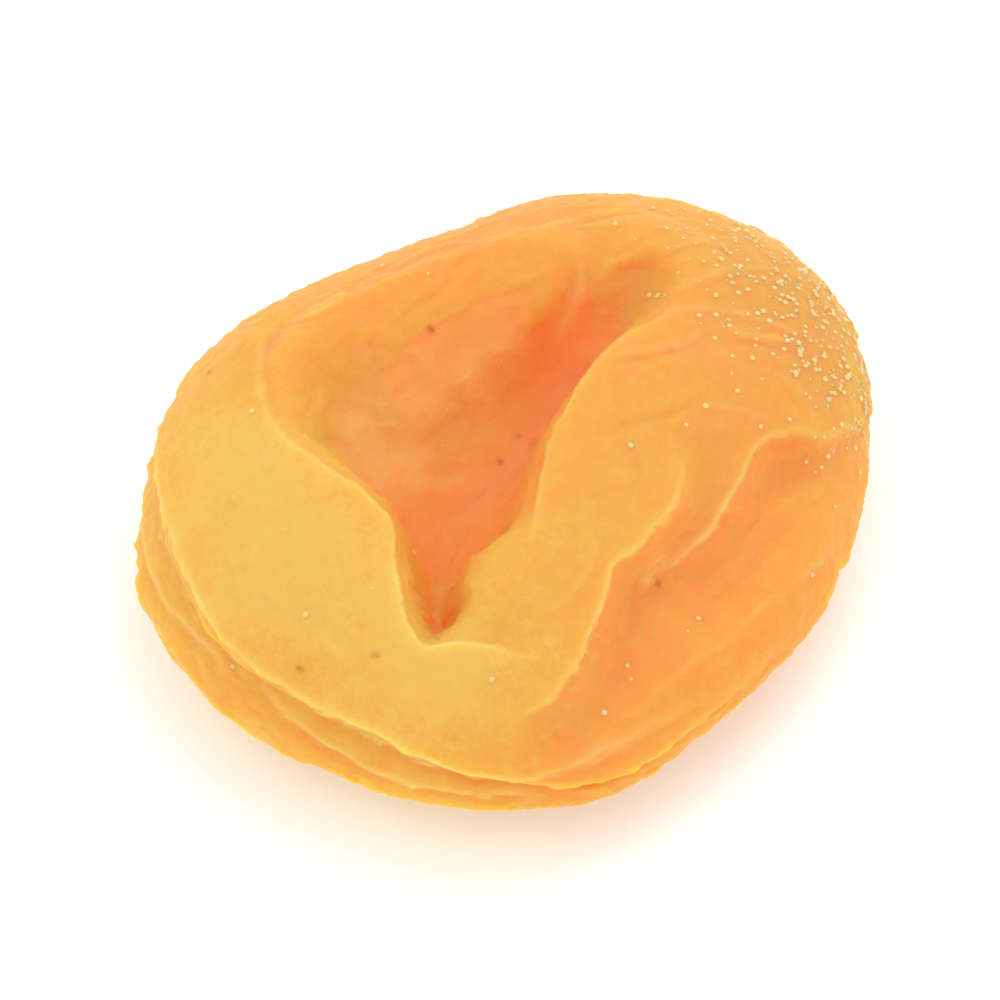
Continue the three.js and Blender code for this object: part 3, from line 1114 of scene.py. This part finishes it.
    creases: tuple[Line, ...] = (
        # behind the hollow
        Line(
            (
                (6.2, 10.0, 0.0), (5.2, 9.8, -0.10), (4.2, 9.6, -0.13), (3.2, 9.3, -0.12),
                (1.4, 9.4, -0.10), (-0.5, 9.5, 0.0),
            ),
        ),
        Line(
            (
                (-0.9, 10.9, 0.0), (-1.3, 9.9, -0.09), (-1.9, 9.0, -0.12), (-2.3, 8.3, -0.08),
                (-3.0, 7.2, 0.0),
            ),
        ),
        # in the gully and over the far shoulder
        Line(
            (
                (9.8, 5.2, 0.0), (10.8, 4.9, -0.11), (11.6, 4.5, -0.14), (13.0, 4.1, -0.11),
                (14.8, 3.5, 0.0),
            ),
        ),
        Line(
            (
                (9.6, 4.0, 0.0), (10.5, 3.9, -0.10), (11.6, 3.5, -0.14), (12.7, 2.8, -0.11),
                (14.1, 2.0, 0.0),
            ),
        ),
        # across the ridge
        Line(
            (
                (4.9, -0.8, 0.0), (5.9, -1.5, -0.09), (7.8, -2.4, -0.12), (9.2, -2.8, -0.10),
                (10.8, -2.6, 0.0),
            ),
        ),
        Line(
            (
                (3.0, -1.8, 0.0), (4.9, -2.3, -0.08), (7.2, -2.8, 0.0),
            ),
        ),
        Line(
            (
                (2.2, -4.0, 0.0), (3.2, -4.5, -0.10), (4.8, -5.2, -0.13), (6.5, -5.8, -0.10),
                (8.0, -6.4, 0.0),
            ),
        ),
        Line(
            (
                (1.9, -5.6, 0.0), (1.7, -6.4, -0.12), (1.3, -7.1, -0.14), (0.2, -7.6, -0.10),
                (-1.2, -7.9, 0.0),
            ),
            0.28,
        ),
        Line(
            (
                (-4.6, -7.1, 0.0), (-3.4, -7.6, -0.10), (-1.4, -7.9, 0.0),
            ),
            0.4,
        ),
        Line(
            (
                (9.8, -3.8, 0.0), (11.4, -4.2, -0.10), (13.0, -5.6, -0.12), (14.2, -7.4, 0.0),
            ),
            0.35,
        ),
        # in the side hollow
        Line(
            (
                (-1.2, -12.8, 0.0), (1.4, -13.2, -0.12), (4.4, -12.9, -0.12),
                (7.4, -12.4, 0.0),
            ),
            0.45,
        ),
        Line(
            (
                (4.8, -11.9, 0.0), (7.4, -11.5, 0.10), (10.0, -11.9, 0.10), (12.4, -12.2, 0.0),
            ),
            0.45,
        ),
        # on the floor of the stone hollow
        Line(
            (
                (-3.6, 2.3, 0.0), (-1.2, 2.4, 0.08), (0.7, 2.5, 0.10), (2.4, 2.3, 0.0),
            ),
        ),
        Line(
            (
                (-4.4, 4.9, 0.0), (-1.8, 3.8, -0.10), (0.9, 2.8, 0.0),
            ),
            0.4,
        ),
        Line(
            (
                (-9.4, -3.0, 0.0), (-7.4, -1.4, -0.12), (-5.0, 0.2, -0.12), (-3.0, 0.8, 0.0),
            ),
        ),
        # a small blister low on the left
        Line(
            (
                (150, 4.9, 0.0), (153, 4.6, 0.30), (156, 4.2, 0.26), (159, 3.9, 0.0),
            ),
            0.35, Profile.CORD, Region.FLANK,
        ),
        # down the right end
        Line(
            (
                (314, 9.0, 0.0), (315, 8.3, -0.12), (320, 7.3, -0.16), (325, 6.5, -0.14),
                (332, 5.4, 0.0),
            ),
            0.35, Profile.CORD, Region.FLANK,
        ),
    )

    def build(self, frame: dict) -> list[bpy.types.Object]:
        """Grow the fruit from the frame's solid.


        Returns:
            The pieces that stand for the solid.
        """
        skin = Skin.from_frame_node(frame["nodes"][self.node])
        for _ in range(self.subdivisions):
            skin.subdivide()
        skin.lay(self.folds + self.creases)
        material = self.flesh.build()
        mesh = skin.to_mesh("apricot_flesh", self.values(skin))
        flesh = bpy.data.objects.new("apricot_flesh", mesh)
        bpy.context.scene.collection.objects.link(flesh)
        self.relief.apply(flesh, material)
        grains = self.bloom.build(flesh, self.sugar.build())
        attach(flesh, "root")
        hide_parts(self.node)
        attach(grains, "root")
        return [flesh, grains]

    def values(self, skin: Skin) -> dict[str, np.ndarray]:
        """Work out what the finishes read from the surface.

        Args:
            skin: the shaped skin.

        Returns:
            `warmth`, 0 for straw yellow to 1 for deep orange, which also carries the painted shade
            in the hollows and under the lips; `crest`, 1 where the flesh is thinnest and is painted
            palest, for the light through it; `speck`, highest on a brown speck; and `bloom`, the
            share of the sugar that has dried there.
        """
        x, y, z = skin.points.T
        upward = skin.normals()[:, 2]
        # sunk masks the painted shade of the sunken patches and the sheet's painted glow
        sunk = np.clip((self.hollow_top - z) / self.hollow_fall, 0, 1)
        sunk = sunk * (upward > -0.3) * (np.hypot(x, y) < self.hollow_reach)
        washed = sum(wash.spread(skin.points, sunk) for wash in self.washes)
        warmth = self.base_warmth + skin.warmth + washed
        # a speck on the crown does not show through on the underside
        gaps = [np.hypot(x - across, y - back) + 9 * (upward < 0) for across, back in self.specks]
        speck = self.speck_strength * np.exp(-((np.min(gaps, axis=0) / self.speck_radius) ** 2))
        away = (skin.points[:, :2] - np.array(self.bloom.centre)) / np.array(self.bloom.spread)
        share = np.exp(-(away**2).sum(1)) + self.bloom.stray_share
        # no sugar below 3 mm, and its full share from 6 mm up
        bloom = share * np.clip((z - 3.0) / 3.0, 0, 1) * (upward > 0)
        # the sheet behind the stone hollow is as thin as the edges of the folds, so it gets the
        # same painted pale glow
        sheet = sunk * np.exp(-((x / 10.0) ** 2 + ((y - 6.0) / 4.5) ** 2))
        crest = np.maximum(skin.crest, sheet)
        return {"warmth": np.clip(warmth, 0, 1), "crest": crest, "speck": speck, "bloom": bloom}


# ---------------------------------------------------------------- the studio


@dataclass(frozen=True)
class Studio:
    """A white floor, soft light from above and behind, and the camera."""

    azimuth: float = -44.0
    elevation: float = 52.0
    distance: float = 0.45
    view_width: float = 0.0516
    aim: Point3 = (-0.00128, 0.00031, 0.005)
    floor_size: float = 6.0
    lamp_distance: float = 0.5
    room_glow: float = 0.91
    table: LightTable = LightTable()

    def direction(self, azimuth: float, elevation: float) -> Vector:
        """Return the unit vector from the object towards an azimuth and elevation in degrees."""
        a, e = math.radians(azimuth), math.radians(elevation)
        return Vector((math.sin(a) * math.cos(e), -math.cos(a) * math.cos(e), math.sin(e)))

    def add_floor(self) -> None:
        """Lay the floor the fruit rests on."""
        half = self.floor_size / 2
        mesh = bpy.data.meshes.new("floor")
        corners = [(-half, -half, 0), (half, -half, 0), (half, half, 0), (-half, half, 0)]
        mesh.from_pydata(corners, [], [(0, 1, 2, 3)])
        floor = bpy.data.objects.new("floor", mesh)
        mesh.materials.append(self.table.build())
        bpy.context.scene.collection.objects.link(floor)

    def add_lamp(
        self, name: str, azimuth: float, elevation: float, size: float, power: float
    ) -> None:
        """Hang a round soft light aimed at the fruit.

        Args:
            name: the lamp's name.
            azimuth: where it hangs, in degrees round the fruit.
            elevation: how high it hangs, in degrees.
            size: its diameter, in metres.
            power: its power, in watts.
        """
        lamp = bpy.data.lights.new(name, "AREA")
        lamp.shape, lamp.size, lamp.energy = "DISK", size, power
        held = bpy.data.objects.new(name, lamp)
        towards = self.direction(azimuth, elevation)
        held.location = Vector(self.aim) + towards * self.lamp_distance
        held.rotation_euler = towards.to_track_quat("Z", "Y").to_euler()
        bpy.context.scene.collection.objects.link(held)

    def add_world(self) -> None:
        """Fill the room with even white light."""
        world = bpy.data.worlds.new("white_room")
        world.use_nodes = True
        tree = world.node_tree
        tree.nodes.clear()
        white = (1.0, 1.0, 1.0, 1.0)
        glow = add_node(
            tree, "ShaderNodeBackground", {"Color": white, "Strength": self.room_glow}
        )
        add_node(tree, "ShaderNodeOutputWorld", {"Surface": glow.outputs[0]})
        bpy.context.scene.world = world

    def add_camera(self) -> None:
        """Set up a long lens that looks down on the fruit from the front."""
        lens = bpy.data.cameras.new("camera")
        lens.sensor_width = 36.0
        lens.lens = lens.sensor_width * self.distance / self.view_width
        camera = bpy.data.objects.new("camera", lens)
        towards = self.direction(self.azimuth, self.elevation)
        camera.location = Vector(self.aim) + towards * self.distance
        camera.rotation_euler = towards.to_track_quat("Z", "Y").to_euler()
        bpy.context.scene.collection.objects.link(camera)
        bpy.context.scene.camera = camera

    def build(self) -> None:
        """Set up the whole studio."""
        self.add_floor()
        self.add_lamp("back_light", self.azimuth + 150, 62, size=0.35, power=0.55)
        self.add_lamp("front_light", self.azimuth - 60, 60, size=0.3, power=0.2)
        self.add_world()
        self.add_camera()
        bpy.context.scene.view_settings.view_transform = "Standard"


def main() -> None:
    """Build the studio and the fruit around the frame, and log how many faces each piece of the
    fruit has.
    """
    logging.basicConfig(level=logging.INFO, format="%(name)s: %(message)s")
    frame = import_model()
    Studio().build()
    for piece in Apricot().build(frame):
        LOG.info("%s: %d faces", piece.name, len(piece.data.polygons))


if __name__ == "__main__":
    main()
